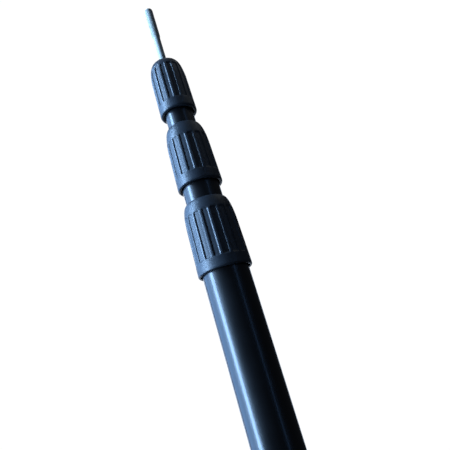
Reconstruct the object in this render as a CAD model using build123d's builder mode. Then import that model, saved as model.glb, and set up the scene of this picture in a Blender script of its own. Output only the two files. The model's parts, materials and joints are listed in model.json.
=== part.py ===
"""A four-section telescopic boat hook pole, collapsed, with three twist-lock collars and a threaded tip stud.

The pole stands along +Z with its foot at the origin. Sections are numbered from the handle, 1, to the tip, 4.
Each lock is a split collet fixed in the end of a tube, a taper ring round the collet's fingers, and a fluted
collar that screws down and pushes the ring along the taper, so that the fingers grip the next tube.
"""

from build123d import *

import os
from math import asin, cos, degrees, pi, radians

os.makedirs("parts", exist_ok=True)

# ---------------------------------------------------------------- driving dimensions, in millimetres
# Tubes
handle_tube_diameter = 30.0
diameter_step = 5.0  # each section is this much slimmer than the one that it slides in
tube_wall = 1.2
handle_tube_length = 418.0

# Collars, from the largest down
collar_lengths = (48.0, 46.0, 43.5)
collar_overhangs = (2.5, 2.75, 3.0)  # how far the rims stand out from their tubes
collar_drafts = (0.6, 0.6, 0.3)  # how much the radius shrinks from the rim to the shoulder
shoulder_lengths = (20.0, 19.5, 16.0)
rim_round = 1.2
skirt_clearance = 0.6  # from the tube to the inside of the collar's skirt
collar_gap = 12.0  # bare tube that shows between two collars when the pole is collapsed

# Flutes in the collars
flute_counts = (18, 16, 16)
flute_turns = (4.0, 13.75, 14.75)  # degrees from +X to the middle of each collar's first flute
flute_share = 0.62  # share of each pitch that is cut away
flute_depth = 0.7
flute_start = 7.2  # height of the plain band below the flutes
flute_top_depths = (8.5, 10.5, 5.5)  # from the collar's mouth down to the flutes' upper ends
flute_backing = 0.2  # wall between the bottom of a flute's cut and the ring's seat

# Lock, measured down from the collar's mouth
mouth_clearance = 0.35
mouth_lip = 0.55  # flat ring round the mouth
mouth_land = 4.5
wiper_height = 2.0
wiper_depth = 0.9
finger_tip_depth = 7.0
ring_top_depth = 9.0
ring_height = 5.5
drum_top_depth = 17.0
tube_end_depth = 26.0

# Collet
spigot_length = 14.0
guide_clearance = 0.1
drum_clearance = 0.05
finger_root = 1.5  # thickness of a finger at its root and at its tip
finger_tip = 0.75
ring_wall = 0.8  # wall of the taper ring at its thin end
running_clearance = 0.05
slot_count = 6
slot_width = 1.5
slot_depth = 14.0

# Fasteners
rivet_shank_radius = 1.0
rivet_head_radius = 1.6
rivet_head_height = 0.35
pin_radius = 1.25
screw_head_radius = 2.6
screw_head_height = 1.4
screw_shank_radius = 1.2
screw_length = 6.0
hole_clearance = 0.02

# Foot bushes, pressed on the lower ends of sections 2 to 4
foot_flange = 3.0
foot_plug_length = 14.0
foot_sleeve_length = 18.0
slide_clearance = 0.15
foot_chamfer = 0.6

# End cap
cap_wall = 2.0
cap_floor = 16.0
cap_sleeve_length = 16.0
cap_plug_length = 20.0
cap_round = 4.0
cap_screw_height = 24.0
eye_radius = 3.0
eye_height = 8.0
eye_round = 0.8

# Tip
tip_flange = 2.0
tip_plug_length = 18.0
nut_cover = 0.53  # plug left outside the corners of the nut
tip_nut_height = 5.0
stud_radius = 3.0
stud_shank_radius = 2.6
stud_exposed = 54.5
stud_thread_length = 28.0
stud_tip_round = 2.2
stud_tail = 2.0  # how far the stud passes below its nut

# ---------------------------------------------------------------- places that follow from those sizes
sections = range(4)
locks = range(3)
tube_radius = [handle_tube_diameter / 2 - diameter_step / 2 * i for i in sections]
tube_bore = [radius - tube_wall for radius in tube_radius]
# Height of each collar's rim, and of the top end of each tube
rim = [cap_floor + handle_tube_length + tube_end_depth - collar_lengths[0]]
for i in locks[1:]:
    rim.append(rim[i - 1] + collar_lengths[i - 1] + collar_gap)
mouth = [rim[i] + collar_lengths[i] for i in locks]
tube_top = [mouth[i] - tube_end_depth for i in locks] + [mouth[2] - tip_flange]

# Each foot rests on the plug of the section round it
foot = [0.0, cap_floor + cap_plug_length]
for i in sections[2:]:
    foot.append(foot[i - 1] + foot_flange + foot_plug_length)
tube_bottom = [cap_floor] + [foot[i] + foot_flange for i in sections[1:]]

tip_height = mouth[2] + stud_exposed
rivet_height = [tube_top[i] - spigot_length / 2 for i in locks]


def write(part, name):
    """Labels a finished piece and writes it as one STEP file."""
    part.label = name
    export_step(part, f"parts/{name}.step")
    print(name, len(part.solids()), round(part.volume, 1))


def outline(*points):
    """A closed outline of (radius, height) points, drawn on the XZ plane for turning about Z."""
    with BuildSketch(Plane.XZ) as drawing:
        with BuildLine():
            Polyline(*points, close=True)
        make_face()
    return drawing.sketch


# ---------------------------------------------------------------- tubes
def make_tube(i):
    """Section i's aluminium tube, with the holes for the rivets at its top and the pin at its foot."""
    with BuildPart() as tube:
        with BuildSketch(Plane.XY.offset(tube_bottom[i])):
            Circle(tube_radius[i])
            Circle(tube_bore[i], mode=Mode.SUBTRACT)
        extrude(amount=tube_top[i] - tube_bottom[i])
        if i in locks:
            with BuildSketch(Plane.YZ.offset(-tube_radius[i])):
                with Locations((0, rivet_height[i])):
                    Circle(rivet_shank_radius + hole_clearance)
            extrude(amount=2 * tube_radius[i], mode=Mode.SUBTRACT)
        if i > 0:
            with BuildSketch(Plane.XZ.offset(-tube_radius[i])):
                with Locations((0, foot[i] + foot_flange + foot_plug_length / 2)):
                    Circle(pin_radius + hole_clearance)
            extrude(amount=2 * tube_radius[i], mode=Mode.SUBTRACT)
        else:
            with BuildSketch(Plane.XZ.offset(-tube_radius[i])):
                with Locations((0, cap_screw_height)):
                    Circle(screw_shank_radius + hole_clearance)
            extrude(amount=2 * tube_radius[i], mode=Mode.SUBTRACT)
    return tube.part


# ---------------------------------------------------------------- end cap and its screws
def make_end_cap():
    """The moulded cap that closes the handle, with a plug in the tube, a sleeve over it and a lanyard eye."""
    outer = tube_radius[0] + cap_wall
    sleeve_top = cap_floor + cap_sleeve_length
    with BuildPart() as cap:
        profile = outline(
            (0, 0),
            (outer, 0),
            (outer, sleeve_top),
            (tube_radius[0], sleeve_top),
            (tube_radius[0], cap_floor),
            (tube_bore[0], cap_floor),
            (tube_bore[0], cap_floor + cap_plug_length),
            (0, cap_floor + cap_plug_length),
        )
        revolve(profile, axis=Axis.Z)
        outer_edges = cap.edges().filter_by(GeomType.CIRCLE).filter_by(lambda e: e.radius > outer - 0.01)
        bottom_edge = outer_edges.sort_by(Axis.Z)[0]
        top_edge = outer_edges.sort_by(Axis.Z)[-1]
        fillet(bottom_edge, cap_round)
        fillet(top_edge, cap_wall / 2)
        with BuildSketch(Plane.YZ.offset(-outer)):
            with Locations((0, eye_height)):
                Circle(eye_radius)
        extrude(amount=2 * outer, mode=Mode.SUBTRACT)
        near_eye = cap.edges().filter_by(lambda e: abs(e.center().Z - eye_height) < eye_radius)
        fillet(near_eye.filter_by(lambda e: abs(e.center().X) > outer / 2), eye_round)
        with BuildSketch(Plane.XZ.offset(-outer)):
            with Locations((0, cap_screw_height)):
                Circle(screw_shank_radius + hole_clearance)
        extrude(amount=2 * outer, mode=Mode.SUBTRACT)
    return cap.part


def make_end_cap_screws():
    """Two pan-head screws that hold the cap, through its sleeve and the tube into the plug."""
    seat = tube_radius[0] + cap_wall
    with BuildPart() as screws:
        for side in (1, -1):
            plane = Plane((0, side * seat, cap_screw_height), x_dir=(1, 0, 0), z_dir=(0, side, 0))
            with BuildSketch(plane):
                Circle(screw_head_radius)
            head = extrude(amount=screw_head_height)
            fillet(head.edges().sort_by(lambda e: abs(e.center().Y))[-1], screw_head_height / 2)
            with BuildSketch(plane):
                Circle(screw_shank_radius)
            extrude(amount=-screw_length)
    return screws.part


# ---------------------------------------------------------------- foot bushes and their pins
def make_foot_bush(i):
    """The bush on the foot of tube i: a plug in its bore, a flange, and a sleeve that slides in the next tube."""
    outer = tube_bore[i - 1] - slide_clearance
    base = foot[i]
    plug_top = base + foot_flange + foot_plug_length
    sleeve_top = base + foot_flange + foot_sleeve_length
    with BuildPart() as bush:
        profile = outline(
            (0, base),
            (outer - foot_chamfer, base),
            (outer, base + foot_chamfer),
            (outer, sleeve_top),
            (tube_radius[i], sleeve_top),
            (tube_radius[i], base + foot_flange),
            (tube_bore[i], base + foot_flange),
            (tube_bore[i], plug_top),
            (0, plug_top),
        )
        revolve(profile, axis=Axis.Z)
        with BuildSketch(Plane.XZ.offset(-outer)):
            with Locations((0, base + foot_flange + foot_plug_length / 2)):
                Circle(pin_radius + hole_clearance)
        extrude(amount=2 * outer, mode=Mode.SUBTRACT)
    return bush.part


def make_foot_pin(i):
    """The pin across tube i's foot that keeps the bush on, just short of the bush's outside."""
    reach = ((tube_bore[i - 1] - slide_clearance) ** 2 - pin_radius**2) ** 0.5 - slide_clearance
    with BuildPart() as pin:
        with BuildSketch(Plane.XZ.offset(-reach)):
            with Locations((0, foot[i] + foot_flange + foot_plug_length / 2)):
                Circle(pin_radius)
        extrude(amount=2 * reach)
        chamfer(pin.edges().filter_by(GeomType.CIRCLE), pin_radius / 5)
    return pin.part


# ---------------------------------------------------------------- locks
def finger_radius(i, height):
    """Outside radius of lock i's fingers at a height, on the straight taper from their root to their tips."""
    root = mouth[i] - drum_top_depth
    tip = mouth[i] - finger_tip_depth
    share = (height - root) / (tip - root)
    return tube_radius[i + 1] + guide_clearance + finger_root + (finger_tip - finger_root) * share


def make_collet(i):
    """Lock i's split collet: a spigot in tube i, a drum that carries the collar, and fingers round tube i + 1."""
    inner = tube_radius[i + 1] + guide_clearance
    drum = tube_radius[i] + skirt_clearance - drum_clearance
    drum_top = mouth[i] - drum_top_depth
    finger_top = mouth[i] - finger_tip_depth
    with BuildPart() as collet:
        profile = outline(
            (inner, tube_top[i] - spigot_length),
            (tube_bore[i], tube_top[i] - spigot_length),
            (tube_bore[i], tube_top[i]),
            (drum, tube_top[i]),
            (drum, drum_top),
            (finger_radius(i, drum_top), drum_top),
            (finger_radius(i, finger_top), finger_top),
            (inner, finger_top),
        )
        revolve(profile, axis=Axis.Z)
        with BuildSketch(Plane.XY.offset(finger_top)):
            with PolarLocations(drum / 2, slot_count):
                Rectangle(drum, slot_width)
        extrude(amount=-slot_depth, mode=Mode.SUBTRACT)
        with BuildSketch(Plane.YZ.offset(-drum)):
            with Locations((0, rivet_height[i])):
                Circle(rivet_shank_radius + hole_clearance)
        extrude(amount=2 * drum, mode=Mode.SUBTRACT)
    return collet.part


def make_collet_rivets(i):
    """Two rivets that hold lock i's collet in tube i, with flat heads under the collar's skirt."""
    with BuildPart() as rivets:
        for side in (1, -1):
            plane = Plane((side * tube_radius[i], 0, rivet_height[i]), x_dir=(0, 1, 0), z_dir=(side, 0, 0))
            with BuildSketch(plane):
                Circle(rivet_head_radius)
            extrude(amount=rivet_head_height)
            with BuildSketch(plane):
                Circle(rivet_shank_radius)
            extrude(amount=-(tube_radius[i] - tube_radius[i + 1] - 2 * guide_clearance))
    return rivets.part


def make_clamp_ring(i):
    """Lock i's taper ring, which the collar pushes down the fingers."""
    top = mouth[i] - ring_top_depth
    bottom = top - ring_height
    outer = finger_radius(i, bottom) + ring_wall
    with BuildPart() as ring:
        profile = outline(
            (finger_radius(i, bottom) + running_clearance, bottom),
            (outer, bottom),
            (outer, top),
            (finger_radius(i, top) + running_clearance, top),
        )
        revolve(profile, axis=Axis.Z)
    return ring.part


def make_collar(i):
    """Lock i's fluted collar: a skirt over tube i's end, a seat for the ring, and a mouth round tube i + 1.

    It is turned in full, slotted right through its outer wall, and given back the floors of the flutes.
    """
    inner = tube_radius[i + 1]
    rim_radius = tube_radius[i] + collar_overhangs[i]
    body_radius = rim_radius - collar_drafts[i]
    bore = tube_radius[i] + skirt_clearance
    lip_radius = inner + mouth_clearance + mouth_lip
    seat = finger_radius(i, mouth[i] - ring_top_depth - ring_height) + ring_wall + running_clearance
    wiper = inner + mouth_clearance + wiper_depth
    rise = shoulder_lengths[i]
    shoulder = mouth[i] - rise
    seat_bottom = mouth[i] - drum_top_depth + drum_clearance
    flute_bottom = rim[i] + flute_start
    flute_top = mouth[i] - flute_top_depths[i]
    with BuildPart() as collar:
        with BuildSketch(Plane.XZ):
            with BuildLine():
                Line((bore, rim[i]), (rim_radius - rim_round, rim[i]))
                RadiusArc((rim_radius - rim_round, rim[i]), (rim_radius, rim[i] + rim_round), -rim_round)
                Line((rim_radius, rim[i] + rim_round), (body_radius, shoulder))
                EllipticalCenterArc(
                    (lip_radius, shoulder), body_radius - lip_radius, rise, start_angle=0, arc_size=90
                )
                Polyline(
                    (lip_radius, mouth[i]),
                    (inner + mouth_clearance, mouth[i]),
                    (inner + mouth_clearance, mouth[i] - mouth_land),
                    (wiper, mouth[i] - mouth_land),
                    (wiper, mouth[i] - ring_top_depth),
                    (seat, mouth[i] - ring_top_depth),
                    (seat, seat_bottom),
                    (bore, seat_bottom),
                    (bore, rim[i]),
                )
            make_face()
        revolve(axis=Axis.Z)

        slot_floor = seat + flute_backing
        slot_width_here = 2 * pi * body_radius / flute_counts[i] * flute_share
        with BuildSketch(Plane.XY.offset(flute_bottom)):
            with PolarLocations(slot_floor + rim_radius / 2, flute_counts[i], start_angle=flute_turns[i]):
                Rectangle(rim_radius, slot_width_here)
        extrude(amount=flute_top - flute_bottom, mode=Mode.SUBTRACT)

        slope = (rim_radius - body_radius) / (shoulder - rim[i] - rim_round)
        sweep = degrees(asin((flute_top - shoulder) / rise))
        core_bottom_radius = body_radius + slope * (shoulder - flute_bottom) - flute_depth
        core_top_radius = lip_radius + (body_radius - lip_radius) * cos(radians(sweep)) - flute_depth
        with BuildSketch(Plane.XZ):
            with BuildLine():
                Line((core_bottom_radius, flute_bottom), (body_radius - flute_depth, shoulder))
                EllipticalCenterArc(
                    (lip_radius - flute_depth, shoulder),
                    body_radius - lip_radius,
                    rise,
                    start_angle=0,
                    arc_size=sweep,
                )
                Polyline(
                    (core_top_radius, flute_top),
                    (slot_floor, flute_top),
                    (slot_floor, seat_bottom),
                    (bore, seat_bottom),
                    (bore, flute_bottom),
                    (core_bottom_radius, flute_bottom),
                )
            make_face()
        revolve(axis=Axis.Z)
    return collar.part


def make_wiper_ring(i):
    """The soft ring in collar i's mouth that wipes water and sand off tube i + 1."""
    top = mouth[i] - mouth_land
    bottom = top - wiper_height
    with BuildPart() as wiper:
        profile = outline(
            (tube_radius[i + 1] + running_clearance, bottom),
            (tube_radius[i + 1] + mouth_clearance + wiper_depth, bottom),
            (tube_radius[i + 1] + mouth_clearance + wiper_depth, top),
            (tube_radius[i + 1] + running_clearance, top),
        )
        revolve(profile, axis=Axis.Z)
    return wiper.part


# ---------------------------------------------------------------- tip
def make_tip_plug():
    """The plug in the last tube's top, bored for the stud, with a hex pocket for its nut."""
    top = tube_top[3]
    nut_corner = tube_bore[3] - nut_cover
    with BuildPart() as plug:
        profile = outline(
            (stud_shank_radius, top - tip_plug_length),
            (tube_bore[3], top - tip_plug_length),
            (tube_bore[3], top),
            (tube_radius[3], top),
            (tube_radius[3], top + tip_flange - foot_chamfer),
            (tube_radius[3] - foot_chamfer, top + tip_flange),
            (stud_shank_radius, top + tip_flange),
        )
        revolve(profile, axis=Axis.Z)
        with BuildSketch(Plane.XY.offset(top - tip_plug_length)):
            RegularPolygon(nut_corner + running_clearance, 6)
        extrude(amount=tip_nut_height, mode=Mode.SUBTRACT)
    return plug.part


def make_tip_nut():
    """The hex nut in the plug that the stud screws into."""
    base = tube_top[3] - tip_plug_length
    with BuildPart() as nut:
        with BuildSketch(Plane.XY.offset(base)):
            RegularPolygon(tube_bore[3] - nut_cover, 6)
            Circle(stud_shank_radius, mode=Mode.SUBTRACT)
        extrude(amount=tip_nut_height)
    return nut.part


def make_tip_stud():
    """The steel stud that takes a screw-on head: a smooth shank, and a coarse thread at its full diameter."""
    with BuildPart() as stud:
        profile = outline(
            (0, tube_top[3] - tip_plug_length - stud_tail),
            (stud_shank_radius, tube_top[3] - tip_plug_length - stud_tail),
            (stud_shank_radius, tip_height - stud_thread_length),
            (stud_radius, tip_height - stud_thread_length + stud_radius - stud_shank_radius),
            (stud_radius, tip_height),
            (0, tip_height),
        )
        revolve(profile, axis=Axis.Z)
        fillet(stud.edges().filter_by(GeomType.CIRCLE).sort_by(Axis.Z)[-1], stud_tip_round)
    return stud.part


# ---------------------------------------------------------------- the whole pole
for i in sections:
    write(make_tube(i), "handle_tube" if i == 0 else f"tube_{i + 1}")
for i in sections[1:]:
    write(make_foot_bush(i), f"foot_bush_{i + 1}")
    write(make_foot_pin(i), f"foot_pin_{i + 1}")
for i in locks:
    write(make_collet(i), f"collet_{i + 1}")
    write(make_collet_rivets(i), f"collet_rivets_{i + 1}")
    write(make_clamp_ring(i), f"clamp_ring_{i + 1}")
    write(make_collar(i), f"collar_{i + 1}")
    write(make_wiper_ring(i), f"wiper_ring_{i + 1}")
write(make_end_cap(), "end_cap")
write(make_end_cap_screws(), "end_cap_screws")
write(make_tip_plug(), "tip_plug")
write(make_tip_nut(), "tip_nut")
write(make_tip_stud(), "tip_stud")

print("rims", rim, "mouths", mouth)
print("tube tops", tube_top, "feet", foot, "tip", tip_height)
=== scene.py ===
# %% [markdown]
# # A telescopic boat hook pole
#
# The pole is four black tubes, one inside the other. Three fluted collars lock them, and a steel stud at
# the tip takes a screw-on hook. It is drawn pushed together, as it is stowed.
#
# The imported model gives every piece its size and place. What is made here is what the eye meets: smooth
# tubes, moulded collars, a real thread on the stud, and the finish of each material.

# %% Load the measured model
import json
import math

import bmesh
import bpy
from mathutils import Matrix, Vector


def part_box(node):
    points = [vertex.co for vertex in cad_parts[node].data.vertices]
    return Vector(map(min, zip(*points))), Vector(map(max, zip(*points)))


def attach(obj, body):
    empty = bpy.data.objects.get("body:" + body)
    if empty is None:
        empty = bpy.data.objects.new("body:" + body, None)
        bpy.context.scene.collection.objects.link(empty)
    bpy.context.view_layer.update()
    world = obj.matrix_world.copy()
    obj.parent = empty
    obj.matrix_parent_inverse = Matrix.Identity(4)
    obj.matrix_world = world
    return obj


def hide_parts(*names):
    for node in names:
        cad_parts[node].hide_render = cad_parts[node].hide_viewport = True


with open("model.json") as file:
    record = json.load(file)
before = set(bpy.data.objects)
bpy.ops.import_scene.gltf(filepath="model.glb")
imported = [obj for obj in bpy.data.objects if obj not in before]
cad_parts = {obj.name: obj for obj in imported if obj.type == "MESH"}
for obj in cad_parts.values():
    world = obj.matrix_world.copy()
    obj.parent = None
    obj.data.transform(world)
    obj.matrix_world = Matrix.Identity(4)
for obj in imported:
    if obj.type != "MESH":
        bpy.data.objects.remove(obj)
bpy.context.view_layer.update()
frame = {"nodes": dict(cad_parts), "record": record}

# %% [markdown]
# ## Working habits
#
# An operator acts on whatever is selected, so each piece starts with nothing selected. Everything on this
# pole is round, and a round thing can be drawn by hand in Blender as a circle that is extruded again and
# again: each new ring is lifted and scaled about the pole's axis. One helper does that for any list of
# radii and heights.
#
# Spinning a profile would give the same shape. Extruding rings is chosen because it keeps the columns of
# faces exact, and the flutes of the collars are pressed into those columns later.

# %% Helpers for turned pieces
MM = 0.001
SAME_POINT = 1e-7  # points closer than this, in metres, are merged


def fresh():
    """Leave edit mode and deselect everything."""
    if bpy.context.object and bpy.context.object.mode != "OBJECT":
        bpy.ops.object.mode_set(mode="OBJECT")
    bpy.ops.object.select_all(action="DESELECT")


def tidy_skin():
    """In edit mode: merge doubled points, and turn every face outwards."""
    bpy.ops.mesh.select_all(action="SELECT")
    bpy.ops.mesh.remove_doubles(threshold=SAME_POINT)
    bpy.ops.mesh.normals_make_consistent(inside=False)
    bpy.ops.mesh.select_all(action="DESELECT")


def turned(name, rings, sides=96, closed=True, first_turn=0.0):
    """A piece turned about the Z axis from (radius, height) rings in millimetres.

    closed joins the last ring to the first, which makes a hollow ring. Otherwise the ends close to points.
    first_turn is where the first column of points stands, in degrees.
    """
    fresh()
    radius, height = rings[0]
    turn = (0, 0, math.radians(first_turn))
    bpy.ops.mesh.primitive_circle_add(
        vertices=sides, radius=radius * MM, location=(0, 0, height * MM), rotation=turn
    )
    piece = bpy.context.object
    piece.name = name
    bpy.ops.object.transform_apply(location=True, rotation=True, scale=True)
    bpy.ops.object.mode_set(mode="EDIT")
    bpy.ops.mesh.select_all(action="SELECT")
    if not closed:
        bpy.ops.mesh.extrude_edges_move()
        bpy.ops.mesh.merge(type="CENTER")
        bpy.ops.mesh.select_all(action="SELECT")
        select_where(piece, lambda p: math.hypot(p.x, p.y) > radius * MM * 0.99)
    path = list(rings[1:]) + ([rings[0]] if closed else [])
    for next_radius, next_height in path:
        bpy.ops.mesh.extrude_edges_move(TRANSFORM_OT_translate={"value": (0, 0, (next_height - height) * MM)})
        scale = next_radius / radius
        bpy.ops.transform.resize(value=(scale, scale, 1), center_override=(0, 0, next_height * MM))
        radius, height = next_radius, next_height
    if not closed:
        bpy.ops.mesh.extrude_edges_move()
        bpy.ops.mesh.merge(type="CENTER")
    tidy_skin()
    bpy.ops.object.mode_set(mode="OBJECT")
    return piece


def select_where(piece, test):
    """In edit mode: select the piece's points that pass the test, and the edges and faces between them."""
    bpy.ops.mesh.select_mode(type="VERT")
    drawing = bmesh.from_edit_mesh(piece.data)
    for point in drawing.verts:
        point.select = test(point.co)
    drawing.select_flush_mode()
    bmesh.update_edit_mesh(piece.data)


def apply_all(piece):
    """Apply every modifier of the piece, in order."""
    fresh()
    piece.select_set(True)
    bpy.context.view_layer.objects.active = piece
    for modifier in list(piece.modifiers):
        bpy.ops.object.modifier_apply(modifier=modifier.name)


def smooth(piece, angle=35):
    """Smooth shading, with edges sharper than the angle left crisp."""
    fresh()
    piece.select_set(True)
    bpy.context.view_layer.objects.active = piece
    bpy.ops.object.shade_smooth_by_angle(angle=math.radians(angle))


def combine(piece, other, kind):
    """Combine two closed pieces by a boolean, and throw the second away."""
    step = piece.modifiers.new(kind.lower(), "BOOLEAN")
    step.operation = kind
    step.solver = "EXACT"
    step.object = other
    apply_all(piece)
    bpy.data.objects.remove(other)


def place(piece, move=(0, 0, 0), turn=0.0, axis="Z"):
    """Turn a piece about an axis through the origin, move it, and put both into its mesh."""
    fresh()
    piece.matrix_world = Matrix.Translation(Vector(move) * MM) @ Matrix.Rotation(math.radians(turn), 4, axis)
    piece.select_set(True)
    bpy.context.view_layer.objects.active = piece
    bpy.ops.object.transform_apply(location=True, rotation=True, scale=True)


def drill(piece, radius, height, axis, reach=40):
    """Drill a round hole right through a piece at a height, along X or Y."""
    bit = turned("drill", [(radius, -reach), (radius, reach)], sides=24, closed=False)
    place(bit, (0, 0, height), 90, "Y" if axis == "X" else "X")
    combine(piece, bit, "DIFFERENCE")


def report(piece):
    """Print a piece's size in millimetres and its number of faces."""
    size = [round(v / MM, 1) for v in piece.dimensions]
    print(piece.name, "is", size, "mm, with", len(piece.data.polygons), "faces")


# %% [markdown]
# ## The tubes
#
# Real ones are drawn aluminium, 1.2 mm thick, with their cut ends just broken by a file. A cylinder
# primitive has no wall, and a solid one would look wrong at its open end. So each is turned as a hollow
# ring: down the outside, round a small chamfer, up the bore. The sides get enough columns that a bright
# reflection runs down them clean.

# %% Turn the four tubes
WALL = 1.2
CHAMFER = 0.2
RIVET_HOLE = 1.02
PIN_HOLE = 1.27
SCREW_HOLE = 1.22
RIVET_DEPTH = 7.0  # from a tube's top end down to the rivets of its collet
PIN_HEIGHT = 7.0  # from a tube's lower end up to the pin of its bush
SCREW_HEIGHT = 8.0  # from the handle tube's lower end up to the screws of its cap
TUBE_SIDES = 128
END_STEP = 2.0  # from a tube's end to its first full ring of points
LOW_CLEAR = 16.0  # the even rings stop this far above a tube's lower end, clear of its holes
TOP_CLEAR = 14.0  # and this far below its top end
EVEN_STEPS = 10
TUBES = {"handle_tube": "handle", "tube_2": "section_2", "tube_3": "section_3", "tube_4": "section_4"}
tubes = {}
tube_radii = {}
for node, body in TUBES.items():
    low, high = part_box(node)
    outside = (high.x - low.x) / 2 / MM
    bottom, top = low.z / MM, high.z / MM
    bore = outside - WALL
    start, end = bottom + LOW_CLEAR, top - TOP_CLEAR
    steps = [bottom + CHAMFER, bottom + END_STEP]
    steps += [start + (end - start) * k / EVEN_STEPS for k in range(EVEN_STEPS + 1)]
    rings = [(bore, bottom), (outside - CHAMFER, bottom)]
    rings += [(outside, height) for height in steps + [top - END_STEP, top - CHAMFER]]
    rings += [(outside - CHAMFER, top), (bore, top)]
    tube = turned(node + "_skin", rings, sides=TUBE_SIDES)
    if node == "handle_tube":
        drill(tube, SCREW_HOLE, bottom + SCREW_HEIGHT, "Y")
    else:
        drill(tube, PIN_HOLE, bottom + PIN_HEIGHT, "Y")
    if node != "tube_4":
        drill(tube, RIVET_HOLE, top - RIVET_DEPTH, "X")
    smooth(tube)
    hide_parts(node)
    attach(tube, body)
    tubes[node] = tube
    tube_radii[node] = outside
    report(tube)

# %% [markdown]
# ## The collars
#
# Each is a nylon moulding: a plain band at the rim, a ring of shallow flutes for wet fingers, and a
# shoulder that rounds over to the mouth. Inside, a skirt clears the tube below, and a seat takes the taper
# ring.
#
# The flutes could be cut with boolean cutters, but that leaves long thin faces that shade badly on a curved
# shoulder. Pressing them in is closer to how the mould is shaped: the columns of faces in each flute are
# scaled towards the axis, ring by ring, and the rings at a flute's two ends are pressed less, so that it
# runs out softly. A whole number of columns per flute keeps every flute and rib alike. The largest collar
# has two flutes more.

# %% Sizes of the collars, in millimetres, from the largest up
FLUTES = (18, 16, 16)
FLUTE_TURNS = (4.0, 13.75, 14.75)  # degrees from +X to the middle of each collar's first flute
FLUTE_LENGTHS = (32.3, 28.3, 30.8)
DRAFTS = (0.6, 0.6, 0.3)
SHOULDERS = (20.0, 19.5, 16.0)
COLUMNS = 14  # columns of faces in each flute and its rib
FLUTE_REACH = 4.5  # columns from the middle of a flute to its wall
FLUTE_START = 7.2
FLUTE_DEPTH = 0.7
FLUTE_END_RINGS = (0.0, 0.3, 0.6, 0.9, 1.3)  # steps in from each end of a flute, over which it deepens
BAND_RINGS = (2.6, 4.4, 6.2)  # heights above the rim of the rings of the plain band
BODY_RINGS = 10
SHOULDER_RINGS = 26
RING_GAP = 0.3  # a ring nearer than this to one of a flute's end rings is left out
RIM_ROUND = 1.2
RIM_BREAK = 0.3  # the broken inner edge of the rim
MOUTH_BREAK = 0.15  # the broken inner edge of the mouth
SKIRT_GAP = 0.6
MOUTH_GAP = 0.35
LIP = 0.55
LAND = 4.5
WIPER_DEPTH = 0.9
RING_DEPTH = 9.0
SEAT_DEPTH = 17.0
SEAT_STEP = 0.84  # the seat of the taper ring is this much narrower than the skirt


def collar_surface(height, rim_radius, lip, draft, rim, mouth, rise):
    """Outside radius of a collar at a height above its rounded rim."""
    shoulder = mouth - rise
    body = rim_radius - draft
    if height < shoulder:
        return rim_radius - draft * (height - rim - RIM_ROUND) / (shoulder - rim - RIM_ROUND)
    return lip + (body - lip) * math.sqrt(max(0.0, 1 - ((height - shoulder) / rise) ** 2))


def collar_heights(rim, mouth, rise, flute_end):
    """Heights of the rings up a collar's outside: evenly spaced, and closer at both ends of the flutes."""
    start = rim + FLUTE_START
    shoulder = mouth - rise
    ends = [start + step for step in FLUTE_END_RINGS] + [flute_end - step for step in FLUTE_END_RINGS]
    even = [rim + step for step in BAND_RINGS]
    even += [start + (shoulder - start) * k / BODY_RINGS for k in range(1, BODY_RINGS + 1)]
    turns = [math.radians(90 * k / SHOULDER_RINGS) for k in range(1, SHOULDER_RINGS)]
    even += [shoulder + rise * math.sin(turn) for turn in turns]
    clear = [height for height in even if min(abs(height - end) for end in ends) > RING_GAP]
    return sorted(ends + clear)


# %% The outline of a collar
def collar_rings(tube_radius, inner_radius, rim_radius, rim, mouth, outside):
    """The collar's outline from inside its rim, up the outside, in at the mouth and down the inside."""
    bore = tube_radius + SKIRT_GAP
    rings = [(bore, rim + RIM_BREAK), (bore + RIM_BREAK, rim), (rim_radius - RIM_ROUND, rim)]
    for degrees in (22.5, 45, 67.5, 90):
        turn = math.radians(degrees)
        side, lift = 1 - math.sin(turn), 1 - math.cos(turn)
        rings.append((rim_radius - RIM_ROUND * side, rim + RIM_ROUND * lift))
    rings += outside
    throat = inner_radius + MOUTH_GAP
    seat = bore - SEAT_STEP
    rings += [(throat + LIP, mouth), (throat + MOUTH_BREAK, mouth)]
    rings += [(throat, mouth - MOUTH_BREAK), (throat, mouth - LAND)]
    rings += [(throat + WIPER_DEPTH, mouth - LAND), (throat + WIPER_DEPTH, mouth - RING_DEPTH)]
    rings += [(seat, mouth - RING_DEPTH), (seat, mouth - SEAT_DEPTH), (bore, mouth - SEAT_DEPTH)]
    return rings


# %% Press the flutes into a collar
def flute_offset(point, flutes, first):
    """How far a point is from the middle of its flute, in columns."""
    pitch = 360 / flutes
    turn = (math.degrees(math.atan2(point.y, point.x)) - first + pitch / 2) % pitch - pitch / 2
    return abs(turn) * COLUMNS / pitch


def press_flutes(collar, rings, start, end, flutes, first):
    """Scale the points of every flute in towards the axis, one ring at a time."""
    bpy.context.view_layer.objects.active = collar
    bpy.ops.object.mode_set(mode="EDIT")
    ramp = FLUTE_END_RINGS[-1]
    pressed = 0
    for radius, height in rings:
        inside = min(height - start, end - height)
        if inside < 0.01:
            continue
        depth = FLUTE_DEPTH * math.sin(math.pi / 2 * min(1.0, inside / ramp))
        reach = FLUTE_REACH - (1 if inside < ramp / 3 else 0)

        def in_flute(p):
            here = abs(p.z / MM - height) < 0.01 and abs(math.hypot(p.x, p.y) / MM - radius) < 0.01
            return here and flute_offset(p, flutes, first) < reach

        select_where(collar, in_flute)
        scale = (radius - depth) / radius
        bpy.ops.transform.resize(value=(scale, scale, 1), center_override=(0, 0, height * MM))
        pressed += 1
    bpy.ops.mesh.select_all(action="DESELECT")
    bpy.ops.object.mode_set(mode="OBJECT")
    return pressed


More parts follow.
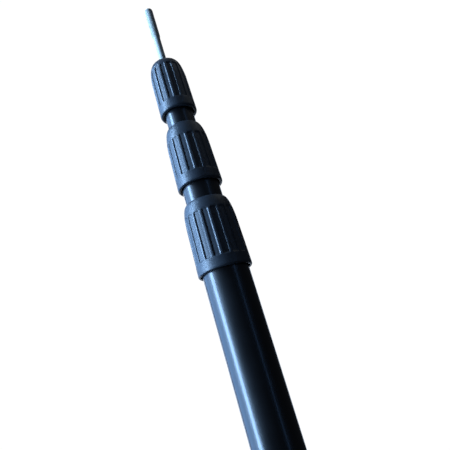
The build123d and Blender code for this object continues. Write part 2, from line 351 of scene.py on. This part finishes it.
# %% Mark where hands wear a collar
def mark_wear(collar, start, end, flutes, first):
    """Store how exposed each point is to hands: 1 on the ribs and the band, 0 in the bottom of a flute."""
    wear = []
    for point in collar.data.vertices:
        height = point.co.z / MM
        fluted = start < height < end
        past_wall = flute_offset(point.co, flutes, first) - FLUTE_REACH + 1
        wear.append(min(1.0, max(0.0, past_wall)) if fluted else 1.0)
    layer = collar.data.attributes.new("hand_wear", "FLOAT", "POINT")
    layer.data.foreach_set("value", wear)
    return sum(wear) / len(wear)


# %% Make the three collars
collars = {}
LOCKS = [("handle_tube", "tube_2"), ("tube_2", "tube_3"), ("tube_3", "tube_4")]
for index, (outer_tube, inner_tube) in enumerate(LOCKS):
    node = f"collar_{index + 1}"
    low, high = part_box(node)
    rim, mouth = low.z / MM, high.z / MM
    rim_radius = (high.x - low.x) / 2 / MM
    flute_start = rim + FLUTE_START
    flute_end = flute_start + FLUTE_LENGTHS[index]
    lip = tube_radii[inner_tube] + MOUTH_GAP + LIP
    outside = []
    for height in collar_heights(rim, mouth, SHOULDERS[index], flute_end):
        radius = collar_surface(height, rim_radius, lip, DRAFTS[index], rim, mouth, SHOULDERS[index])
        outside.append((radius, height))
    rings = collar_rings(tube_radii[outer_tube], tube_radii[inner_tube], rim_radius, rim, mouth, outside)
    collar = turned(node + "_moulding", rings, sides=FLUTES[index] * COLUMNS, first_turn=FLUTE_TURNS[index])
    pressed = press_flutes(collar, outside, flute_start, flute_end, FLUTES[index], FLUTE_TURNS[index])
    rounding = collar.modifiers.new("soft edges", "SUBSURF")
    rounding.levels = 1
    rounding.render_levels = 1
    apply_all(collar)
    smooth(collar, 60)
    exposed = mark_wear(collar, flute_start, flute_end, FLUTES[index], FLUTE_TURNS[index])
    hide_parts(node)
    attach(collar, f"twist_collar_{index + 1}")
    collars[node] = collar
    print(node, "has flutes pressed at", pressed, "rings;", round(100 * exposed), "% of it is open to hands")
    report(collar)

# %% [markdown]
# ## The tip stud
#
# A 6 mm steel stud with a shallow rolled thread on its upper half, and a rounded nose that finds the socket
# of the hook. A painted or bumped thread gives itself away at the outline, so this one is cut for real, as
# on a lathe: the bar is turned first, and then one helical groove is taken out of it. The Screw modifier
# sweeps the groove's outline round and up. It starts below the thread, where the shank is thinner than the
# bottom of the groove, so the groove runs out by itself.

# %% Turn the bar of the stud
THREAD_PITCH = 1.0
THREAD_CREST = 3.0
THREAD_ROOT = 2.7
THREAD_LENGTH = 28.0
SHANK = 2.6
NOSE = 2.2
SHANK_BREAK = 0.2  # the broken edge of the shank's foot
MIDDLE_RING = 20.0  # from the foot up to one more ring of points on the shank
RAMP_LOW, RAMP_HIGH = 0.3, 0.9  # the shank swells to the thread's crest from this far below to this far above
low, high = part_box("tip_stud")
stud_foot, stud_top = low.z / MM, high.z / MM
thread_start = stud_top - THREAD_LENGTH
tip_flat = THREAD_CREST - NOSE  # radius of the small flat at the very tip
outline = [(SHANK - SHANK_BREAK, stud_foot), (SHANK, stud_foot + SHANK_BREAK)]
outline += [(SHANK, stud_foot + MIDDLE_RING), (SHANK, thread_start - RAMP_LOW)]
outline += [(THREAD_CREST, thread_start + RAMP_HIGH)]
crest_length = THREAD_LENGTH - RAMP_HIGH - NOSE
outline += [(THREAD_CREST, thread_start + RAMP_HIGH + crest_length * k / 6) for k in range(1, 7)]
for degrees in (12, 24, 36, 48, 60, 72, 82, 90):
    turn = math.radians(degrees)
    outline.append((tip_flat + NOSE * math.cos(turn), stud_top - NOSE + NOSE * math.sin(turn)))
stud = turned("tip_stud_steel", outline, sides=96, closed=False, first_turn=1.3)

# %% Sweep the groove and cut it
CLEAR = 0.1  # how far the cutter stands out of the bar
FLOOR = 0.1  # height of the flat floor of the groove
LEAD_IN = 2.0  # how far below the thread the groove starts
SWEEP_STEPS = 48
EXTRA_TURNS = 4  # turns of the groove beyond the thread's length, for both its ends
flank = 0.26 * THREAD_PITCH  # height of each sloping side of the groove
slope = flank / (THREAD_CREST - THREAD_ROOT)
groove = [(THREAD_ROOT, flank), (THREAD_ROOT, flank + FLOOR)]
groove += [(THREAD_CREST + CLEAR, 2 * flank + FLOOR + CLEAR * slope), (THREAD_CREST + CLEAR, -CLEAR * slope)]
fresh()
bpy.ops.mesh.primitive_circle_add(vertices=len(groove), radius=MM)
cutter = bpy.context.object
bpy.ops.object.mode_set(mode="EDIT")
drawing = bmesh.from_edit_mesh(cutter.data)
for point, (radius, height) in zip(drawing.verts, groove):
    point.co = (radius * MM, 0, (thread_start - LEAD_IN + height) * MM)
bmesh.update_edit_mesh(cutter.data)
bpy.ops.object.mode_set(mode="OBJECT")
sweep = cutter.modifiers.new("groove", "SCREW")
sweep.angle = math.tau
sweep.steps = SWEEP_STEPS
sweep.render_steps = SWEEP_STEPS
sweep.screw_offset = THREAD_PITCH * MM
sweep.iterations = int(THREAD_LENGTH / THREAD_PITCH) + EXTRA_TURNS
apply_all(cutter)
bpy.ops.object.mode_set(mode="EDIT")
bpy.ops.mesh.select_all(action="SELECT")
bpy.ops.mesh.fill_holes(sides=0)
tidy_skin()
bpy.ops.object.mode_set(mode="OBJECT")
combine(stud, cutter, "DIFFERENCE")
smooth(stud, 30)
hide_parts("tip_stud")
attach(stud, "section_4")
report(stud)

# %% [markdown]
# ## The end cap
#
# A moulded nylon cap closes the foot: a plug in the bore, a sleeve over the tube, a rounded heel, and an
# eye across it for a lanyard. The eye is bored with a cutter that flares at both ends, so that its mouths
# come out rounded and don't chafe the cord.

# %% Turn the end cap
HEEL = 4.0
EYE_RADIUS, EYE_HEIGHT = 3.0, 8.0
SLEEVE = 16.0
SLEEVE_ROUND = 1.0
SLEEVE_RINGS = (12.5, 16, 20, 28)  # heights of the rings up the cap's side
TUBE_GAP = 0.02  # between the sleeve and the tube in it
PLUG_BREAK = 0.5
SLEEVE_BREAK = 0.4  # the broken inner edge of the sleeve
low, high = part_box("end_cap")
cap_radius = (high.x - low.x) / 2 / MM
cap_top = high.z / MM
tube_radius = tube_radii["handle_tube"]
plug_radius = tube_radius - WALL
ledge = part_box("handle_tube")[0].z / MM
sleeve_top = ledge + SLEEVE
rings = [(cap_radius - HEEL - 4, 0.6), (cap_radius - HEEL - 3, 0), (cap_radius - HEEL, 0)]
for degrees in (11.25, 22.5, 33.75, 45, 56.25, 67.5, 78.75, 90):
    turn = math.radians(degrees)
    rings.append((cap_radius - HEEL * (1 - math.sin(turn)), HEEL * (1 - math.cos(turn))))
rings += [(cap_radius, height) for height in SLEEVE_RINGS + (sleeve_top - SLEEVE_ROUND,)]
for degrees in (30, 60, 90):
    turn = math.radians(degrees)
    inset, drop = SLEEVE_ROUND * (1 - math.cos(turn)), SLEEVE_ROUND * (1 - math.sin(turn))
    rings.append((cap_radius - inset, sleeve_top - drop))
rings += [(tube_radius + TUBE_GAP, sleeve_top - SLEEVE_BREAK), (tube_radius + TUBE_GAP, ledge)]
rings += [(plug_radius, ledge), (plug_radius, cap_top - PLUG_BREAK), (plug_radius - PLUG_BREAK, cap_top)]
cap = turned("end_cap_moulding", rings, sides=128, closed=False)

# %% Bore the eye and the screw holes
flare = [(EYE_RADIUS + 1.2, -cap_radius - 0.5), (EYE_RADIUS + 0.7, -cap_radius + 0.3)]
flare += [(EYE_RADIUS + 0.25, -cap_radius + 1.0), (EYE_RADIUS, -cap_radius + 2.2)]
cutter = turned("cutter", flare + [(r, -z) for r, z in reversed(flare)], sides=48, closed=False)
place(cutter, (0, 0, EYE_HEIGHT), 90, "Y")
combine(cap, cutter, "DIFFERENCE")
drill(cap, SCREW_HOLE, ledge + SCREW_HEIGHT, "Y")
smooth(cap, 40)
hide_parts("end_cap")
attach(cap, "handle")
report(cap)

# %% [markdown]
# ## The cap's screws
#
# Two stainless button-head screws go through the sleeve and the tube into the plug. A button head is a
# shallow dome with a hexagon socket. It is turned like the other pieces, and a six-sided prism is sunk into
# it. The second screw is the first one, copied and turned half way round the pole.

# %% Make the two screws
HEAD_RADIUS, HEAD_HEIGHT = 2.6, 1.4
SCREW_SHANK, SCREW_LENGTH = 1.2, 6.0
SOCKET_RADIUS, SOCKET_DEPTH = 1.15, 0.9
outline = [(SCREW_SHANK - 0.4, -SCREW_LENGTH), (SCREW_SHANK, -SCREW_LENGTH + 0.6), (SCREW_SHANK, 0)]
outline += [(HEAD_RADIUS - 0.05, 0), (HEAD_RADIUS, 0.06), (HEAD_RADIUS, 0.4), (2.52, 0.64), (2.3, 0.92)]
outline += [(1.95, 1.16), (1.6, 1.3), (1.42, HEAD_HEIGHT)]
screw = turned("end_cap_screws_steel", outline, sides=48, closed=False)
fresh()
bpy.ops.mesh.primitive_cylinder_add(
    vertices=6, radius=SOCKET_RADIUS * MM, depth=2 * SOCKET_DEPTH * MM, location=(0, 0, HEAD_HEIGHT * MM)
)
socket = bpy.context.object
bpy.ops.object.transform_apply(location=True)
combine(screw, socket, "DIFFERENCE")
second = screw.copy()
second.data = screw.data.copy()
bpy.context.scene.collection.objects.link(second)
for piece, side in ((screw, 1), (second, -1)):
    place(piece, (0, side * cap_radius, ledge + SCREW_HEIGHT), -90 * side, "X")
fresh()
screw.select_set(True)
second.select_set(True)
bpy.context.view_layer.objects.active = screw
bpy.ops.object.join()
smooth(screw, 40)
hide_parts("end_cap_screws")
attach(screw, "handle")
report(screw)

# %% [markdown]
# ## The plug in the tip
#
# When the last section is drawn out, the end of its tube shows the plug that holds the stud: a flange with
# a broken edge, and below it, out of sight, a hexagon pocket for the nut. It is one closed ring round the
# stud.

# %% Turn the tip plug
PLUG_LENGTH, FLANGE = 18.0, 2.0
NUT_COVER, NUT_HEIGHT = 0.48, 5.0
plug_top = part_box("tip_plug")[1].z / MM
seat = plug_top - FLANGE
tip_radius = tube_radii["tube_4"]
outline = [(SHANK + 0.01, seat - PLUG_LENGTH), (tip_radius - WALL, seat - PLUG_LENGTH)]
outline += [(tip_radius - WALL, seat)]
outline += [(tip_radius, seat), (tip_radius, plug_top - 0.6), (tip_radius - 0.18, plug_top - 0.18)]
outline += [(tip_radius - 0.6, plug_top), (SHANK + 0.25, plug_top), (SHANK + 0.01, plug_top - 0.24)]
plug = turned("tip_plug_moulding", outline, sides=96)
fresh()
bpy.ops.mesh.primitive_cylinder_add(
    vertices=6, radius=(tip_radius - WALL - NUT_COVER) * MM, depth=2 * NUT_HEIGHT * MM
)
pocket = bpy.context.object
place(pocket, (0, 0, seat - PLUG_LENGTH))
combine(plug, pocket, "DIFFERENCE")
smooth(plug, 35)
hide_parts("tip_plug")
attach(plug, "section_4")
report(plug)

# %% [markdown]
# ## Finishes
#
# Every finish is built from noise in the piece's own coordinates, in metres, so that its grain has a true
# size: a spark-eroded mould leaves grains of about a quarter of a millimetre, and a drawing die leaves
# lines that run the length of a tube. A flat colour would look like paint on a toy.

# %% A helper for finishes
def finish(name, colour, roughness, **sockets):
    """A new material with its shader set, and the tools to add nodes to it."""
    material = bpy.data.materials.new(name)
    material.use_nodes = True
    nodes, links = material.node_tree.nodes, material.node_tree.links
    shader = nodes["Principled BSDF"]
    shader.inputs["Base Color"].default_value = (*colour, 1)
    shader.inputs["Roughness"].default_value = roughness
    for socket, value in sockets.items():
        shader.inputs[socket.replace("_", " ")].default_value = value
    origin = nodes.new("ShaderNodeTexCoord")
    return material, nodes, links, shader, origin


def noise(nodes, links, origin, scale, stretch=(1, 1, 1), detail=3.0, rough=0.5):
    """Noise at a scale per metre, stretched along any axis. Returns its value socket."""
    mapping = nodes.new("ShaderNodeMapping")
    mapping.inputs["Scale"].default_value = stretch
    texture = nodes.new("ShaderNodeTexNoise")
    texture.inputs["Scale"].default_value = scale
    texture.inputs["Detail"].default_value = detail
    texture.inputs["Roughness"].default_value = rough
    links.new(origin.outputs["Object"], mapping.inputs["Vector"])
    links.new(mapping.outputs["Vector"], texture.inputs["Vector"])
    return texture.outputs["Fac"]


def spread(nodes, links, value, low, high, start=0.3, end=0.7):
    """Turn a noise value into the range from low to high."""
    ranger = nodes.new("ShaderNodeMapRange")
    ranger.inputs["From Min"].default_value = start
    ranger.inputs["From Max"].default_value = end
    ranger.inputs["To Min"].default_value = low
    ranger.inputs["To Max"].default_value = high
    links.new(value, ranger.inputs["Value"])
    return ranger.outputs["Result"]


def tint(nodes, links, value, dark, light, start=0.3, end=0.7):
    """Turn a noise value into a colour between two."""
    ramp = nodes.new("ShaderNodeValToRGB")
    ramp.color_ramp.elements[0].position = start
    ramp.color_ramp.elements[0].color = (*dark, 1)
    ramp.color_ramp.elements[1].position = end
    ramp.color_ramp.elements[1].color = (*light, 1)
    links.new(value, ramp.inputs["Fac"])
    return ramp.outputs["Color"]


def bump(nodes, links, height, depth, under=None):
    """A bump of a true depth in metres, on top of another if one is given."""
    node = nodes.new("ShaderNodeBump")
    node.inputs["Strength"].default_value = 1.0
    node.inputs["Distance"].default_value = depth
    links.new(height, node.inputs["Height"])
    if under:
        links.new(under, node.inputs["Normal"])
    return node.outputs["Normal"]


# %% [markdown]
# ### Black anodised tube
#
# The tube is drawn, so its lines run lengthwise. The dye is nearly black and slightly blue, and the sealed
# oxide over it is a thin clear skin, which a coat on the shader gives. Handling leaves faint cloudy patches
# in the shine rather than in the colour, and sliding in and out leaves a few fine lengthwise scratches.

# %% Make the tube finish
tube_black, nodes, links, shader, origin = finish(
    "black_anodised_tube", (0.0007, 0.0011, 0.0022), 0.38, Coat_Weight=0.4, Coat_Roughness=0.16, Coat_IOR=1.5
)
drawing_lines = noise(nodes, links, origin, 2600, stretch=(1, 1, 0.012), detail=4)
scratches = noise(nodes, links, origin, 900, stretch=(1, 1, 0.006), detail=6, rough=0.75)
clouds = noise(nodes, links, origin, 55, stretch=(1, 1, 0.5), detail=5, rough=0.6)
links.new(spread(nodes, links, clouds, 0.34, 0.43), shader.inputs["Roughness"])
dye = tint(nodes, links, clouds, (0.0005, 0.0008, 0.0016), (0.0010, 0.0015, 0.0030))
links.new(dye, shader.inputs["Base Color"])
fine = bump(nodes, links, drawing_lines, 0.000003)
deep = spread(nodes, links, scratches, 0.0, 1.0, start=0.66, end=0.76)
links.new(bump(nodes, links, deep, 0.000004, under=fine), shader.inputs["Normal"])
for tube in tubes.values():
    tube.data.materials.append(tube_black)
print("tubes finished:", sorted(tubes))

# %% [markdown]
# ### Moulded collar nylon
#
# Spark erosion gives the mould a fine even pitting, and the nylon copies it. Three things make the grain:
# the pits themselves, a slower drift in the shine, and the wear that was stored on each point. Hands polish
# the ribs and the band, while the bottoms of the flutes keep their grain and hold a little pale dust.

# %% Make the collar finish
collar_nylon, nodes, links, shader, origin = finish(
    "grained_collar_nylon", (0.02, 0.026, 0.035), 0.42, Specular_IOR_Level=0.65
)
pits = noise(nodes, links, origin, 3400, detail=2, rough=0.55)
drift = noise(nodes, links, origin, 260, detail=4, rough=0.6)
worn = nodes.new("ShaderNodeAttribute")
worn.attribute_name = "hand_wear"
matt = spread(nodes, links, drift, 0.44, 0.54)
polish = nodes.new("ShaderNodeMath")
polish.operation = "MULTIPLY_ADD"
polish.inputs[1].default_value = -0.07
links.new(worn.outputs["Fac"], polish.inputs[0])
links.new(matt, polish.inputs[2])
links.new(polish.outputs["Value"], shader.inputs["Roughness"])
dust = nodes.new("ShaderNodeMix")
dust.data_type = "RGBA"
links.new(worn.outputs["Fac"], dust.inputs["Factor"])
links.new(tint(nodes, links, drift, (0.02, 0.026, 0.034), (0.03, 0.038, 0.048)), dust.inputs["A"])
links.new(tint(nodes, links, pits, (0.014, 0.0185, 0.025), (0.028, 0.036, 0.046)), dust.inputs["B"])
links.new(dust.outputs["Result"], shader.inputs["Base Color"])
links.new(bump(nodes, links, pits, 0.00005), shader.inputs["Normal"])
for collar in collars.values():
    collar.data.materials.append(collar_nylon)
print("collars finished:", sorted(collars))

# %% [markdown]
# ### Zinc-plated steel
#
# The stud is plated: pale and rather dull, because the plating is a mass of tiny crystals. Rolling leaves
# marks round it, and the plating blooms in patches.

# %% Make the stud finish
stud_steel, nodes, links, shader, origin = finish("zinc_plated_steel", (0.5, 0.5, 0.45), 0.75, Metallic=0.35)
rolling = noise(nodes, links, origin, 900, stretch=(0.15, 0.15, 4), detail=3)
bloom = noise(nodes, links, origin, 350, detail=5, rough=0.65)
links.new(spread(nodes, links, bloom, 0.68, 0.8), shader.inputs["Roughness"])
links.new(tint(nodes, links, bloom, (0.46, 0.46, 0.41), (0.55, 0.55, 0.5)), shader.inputs["Base Color"])
links.new(bump(nodes, links, rolling, 0.000006), shader.inputs["Normal"])
stud.data.materials.append(stud_steel)

# %% [markdown]
# ### The cap, the stainless screws, and what is inside
#
# The cap is the same nylon from a smoother mould. The screws are stainless, turned bright. The bushes and
# collets inside are undyed plastic, a little translucent, and the wipers are rubber.

# %% Make the other finishes
cap_nylon, nodes, links, shader, origin = finish("satin_cap_nylon", (0.015, 0.019, 0.024), 0.42)
pits = noise(nodes, links, origin, 2400, detail=3)
drift = noise(nodes, links, origin, 120, detail=5)
links.new(spread(nodes, links, drift, 0.36, 0.5), shader.inputs["Roughness"])
links.new(tint(nodes, links, pits, (0.011, 0.014, 0.018), (0.02, 0.024, 0.03)), shader.inputs["Base Color"])
links.new(bump(nodes, links, pits, 0.00003), shader.inputs["Normal"])
cap.data.materials.append(cap_nylon)
plug.data.materials.append(cap_nylon)

screw_steel, nodes, links, shader, origin = finish("stainless_screw", (0.62, 0.61, 0.59), 0.25, Metallic=1.0)
turning = noise(nodes, links, origin, 700, stretch=(1, 6, 1), detail=3)
links.new(spread(nodes, links, turning, 0.18, 0.34), shader.inputs["Roughness"])
links.new(bump(nodes, links, turning, 0.000004), shader.inputs["Normal"])
screw.data.materials.append(screw_steel)

pale_plastic, nodes, links, shader, origin = finish(
    "undyed_plastic", (0.72, 0.7, 0.65), 0.42, Subsurface_Weight=0.1
)
links.new(bump(nodes, links, noise(nodes, links, origin, 1800), 0.00001), shader.inputs["Normal"])
links.new(
    tint(nodes, links, noise(nodes, links, origin, 90), (0.66, 0.64, 0.58), (0.78, 0.76, 0.71)),
    shader.inputs["Base Color"],
)

wiper_rubber, nodes, links, shader, origin = finish("wiper_rubber", (0.02, 0.02, 0.021), 0.7)
links.new(bump(nodes, links, noise(nodes, links, origin, 2600), 0.00002), shader.inputs["Normal"])
links.new(
    tint(nodes, links, noise(nodes, links, origin, 400), (0.015, 0.015, 0.016), (0.03, 0.03, 0.031)),
    shader.inputs["Base Color"],
)

# %% Dress the measured pieces that stay as they are
FINISH_OF_SLOT = {
    "bush": pale_plastic,
    "collet": pale_plastic,
    "wiper": wiper_rubber,
    "rivet": screw_steel,
    "steel": screw_steel,
    "stud": stud_steel,
    "tube": tube_black,
    "collar": collar_nylon,
    "cap": cap_nylon,
}
for part in frame["record"]["subparts"]:
    node = frame["nodes"][part["node"]]
    node.data.materials.clear()
    node.data.materials.append(FINISH_OF_SLOT[part["material_slot"]])
print(len(frame["nodes"]), "measured pieces dressed")

# %% [markdown]
# ## The studio
#
# A black pole shows nothing of itself but what it mirrors, so its lights are placed by their bearing round
# it. A round thing mirrors a light at half the light's bearing: one a little behind the left shoulder draws
# the bright line down each tube, three fifths of the way out. A wide blue one behind that fills the left
# edge, and a thin one at the right draws the faint second line. These three are taller than the pole,
# because the camera looks up, and sees each light mirrored ever higher. The others are weak: two high at
# the right, two behind and one above. They give the far sides an edge in other views, and leave the middle
# of the tubes nearly black in this one.
#
# The paper behind curves up from a pale floor. It glows by itself, a little less near the pole's foot, which
# paints a soft shade round it, and it is kept from lighting the pole.

# %% Roll out the backdrop
FLOOR_RADIUS = 4.0
PAPER_HEIGHT = 5.0
BEND = 1.2  # radius of the curve from the floor up to the wall
fresh()
bpy.ops.mesh.primitive_circle_add(vertices=96, radius=FLOOR_RADIUS, fill_type="NGON", location=(0, 0, 0))
backdrop = bpy.context.object
backdrop.name = "backdrop"
bpy.ops.object.mode_set(mode="EDIT")
bpy.ops.mesh.select_all(action="SELECT")
bpy.ops.mesh.extrude_region_move(TRANSFORM_OT_translate={"value": (0, 0, PAPER_HEIGHT)})
bpy.ops.mesh.delete(type="ONLY_FACE")
select_where(backdrop, lambda p: p.z < 0.01)
bpy.ops.mesh.bevel(offset=BEND, segments=10, affect="EDGES")
bpy.ops.object.mode_set(mode="OBJECT")
smooth(backdrop, 60)
paper, nodes, links, shader, origin = finish(
    "backdrop_paper", (0.035, 0.035, 0.035), 1.0, Specular_IOR_Level=0.0
)
shader.inputs["Emission Color"].default_value = (1, 1, 1, 1)
away = nodes.new("ShaderNodeVectorMath")
away.operation = "LENGTH"
links.new(origin.outputs["Object"], away.inputs[0])
# The glow is weakest near the pole's foot and full from 1.6 m out: a painted shade round the foot.
glow_with_painted_foot_shade = spread(nodes, links, away.outputs["Value"], 0.86, 1.02, start=0.1, end=1.6)
links.new(glow_with_painted_foot_shade, shader.inputs["Emission Strength"])
backdrop.data.materials.append(paper)
backdrop.visible_diffuse = False
backdrop.visible_glossy = False

# %% Hang the lights
def soft_light(name, bearing, distance, height, width, tall, radiance, colour, aim=None):
    """A light that faces the pole, upright unless it has an aim, the height on the pole that it points at.

    bearing is degrees round the pole from the camera's side, to the right.
    """
    turn = math.radians(bearing)
    spot = Vector((math.sin(turn) * distance, -math.cos(turn) * distance, height))
    data = bpy.data.lights.new(name, "AREA")
    data.shape = "RECTANGLE"
    data.size = width
    data.size_y = tall
    data.energy = radiance * width * tall * math.pi
    data.color = colour
    light = bpy.data.objects.new(name, data)
    bpy.context.scene.collection.objects.link(light)
    ray = Vector((0, 0, height if aim is None else aim)) - spot
    light.matrix_world = Matrix.Translation(spot) @ ray.to_track_quat("-Z", "Y").to_matrix().to_4x4()
    return light


soft_light("key_left", -74, 1.3, 1.1, 0.36, 2.6, 36, (0.37, 0.62, 1.0))
soft_light("wide_left", -110, 1.6, 1.1, 1.4, 2.6, 3.8, (0.28, 0.53, 1.0))
soft_light("thin_right", 47, 1.5, 1.1, 0.12, 2.6, 1.4, (0.21, 0.46, 1.0))
soft_light("high_right", 104, 1.2, 2.0, 1.2, 1.0, 0.4, (0.85, 0.93, 1.0))
soft_light("high_front", 50, 1.2, 2.1, 1.4, 0.9, 0.25, (0.7, 0.88, 1.0))
soft_light("behind_left", -166, 1.8, 1.0, 1.2, 2.0, 2.6, (0.7, 0.82, 1.0))
soft_light("behind_right", 168, 1.8, 1.0, 0.7, 2.0, 1.3, (0.62, 0.78, 1.0))
soft_light("above", 180, 0.5, 2.7, 1.4, 1.4, 0.45, (0.8, 0.88, 1.0), aim=0.5)
world = bpy.data.worlds.new("room")
world.use_nodes = True
world.node_tree.nodes["Background"].inputs["Color"].default_value = (0.7, 0.8, 1.0, 1)
world.node_tree.nodes["Background"].inputs["Strength"].default_value = 0.03
bpy.context.scene.world = world
bpy.context.scene.view_settings.view_transform = "Standard"

# %% [markdown]
# ## The camera
#
# It is close to the pole and below its collars, looking up, so the rims show their undersides and the tip
# runs away. It is also rolled a little, which leans the pole to the left. The pole itself stays upright.

# %% Place the camera
CAMERA_PLACE = (0, -0.2866, 0.344)
HEADING = -1.62  # degrees, to the left of straight ahead if positive
UPWARDS = 18.87  # degrees above the level
ROLL = -17.04
SENSOR_WIDTH = 36
FOCAL_LENGTH = 37.6
lens = bpy.data.cameras.new("camera")
lens.sensor_width = SENSOR_WIDTH
lens.lens = FOCAL_LENGTH
lens.clip_start = 0.01
camera = bpy.data.objects.new("camera", lens)
bpy.context.scene.collection.objects.link(camera)
heading = Matrix.Rotation(math.radians(HEADING), 4, "Z")
tilt = Matrix.Rotation(math.radians(90 + UPWARDS), 4, "X")
roll = Matrix.Rotation(math.radians(ROLL), 4, "Z")
camera.matrix_world = Matrix.Translation(CAMERA_PLACE) @ heading @ tilt @ roll
bpy.context.scene.camera = camera
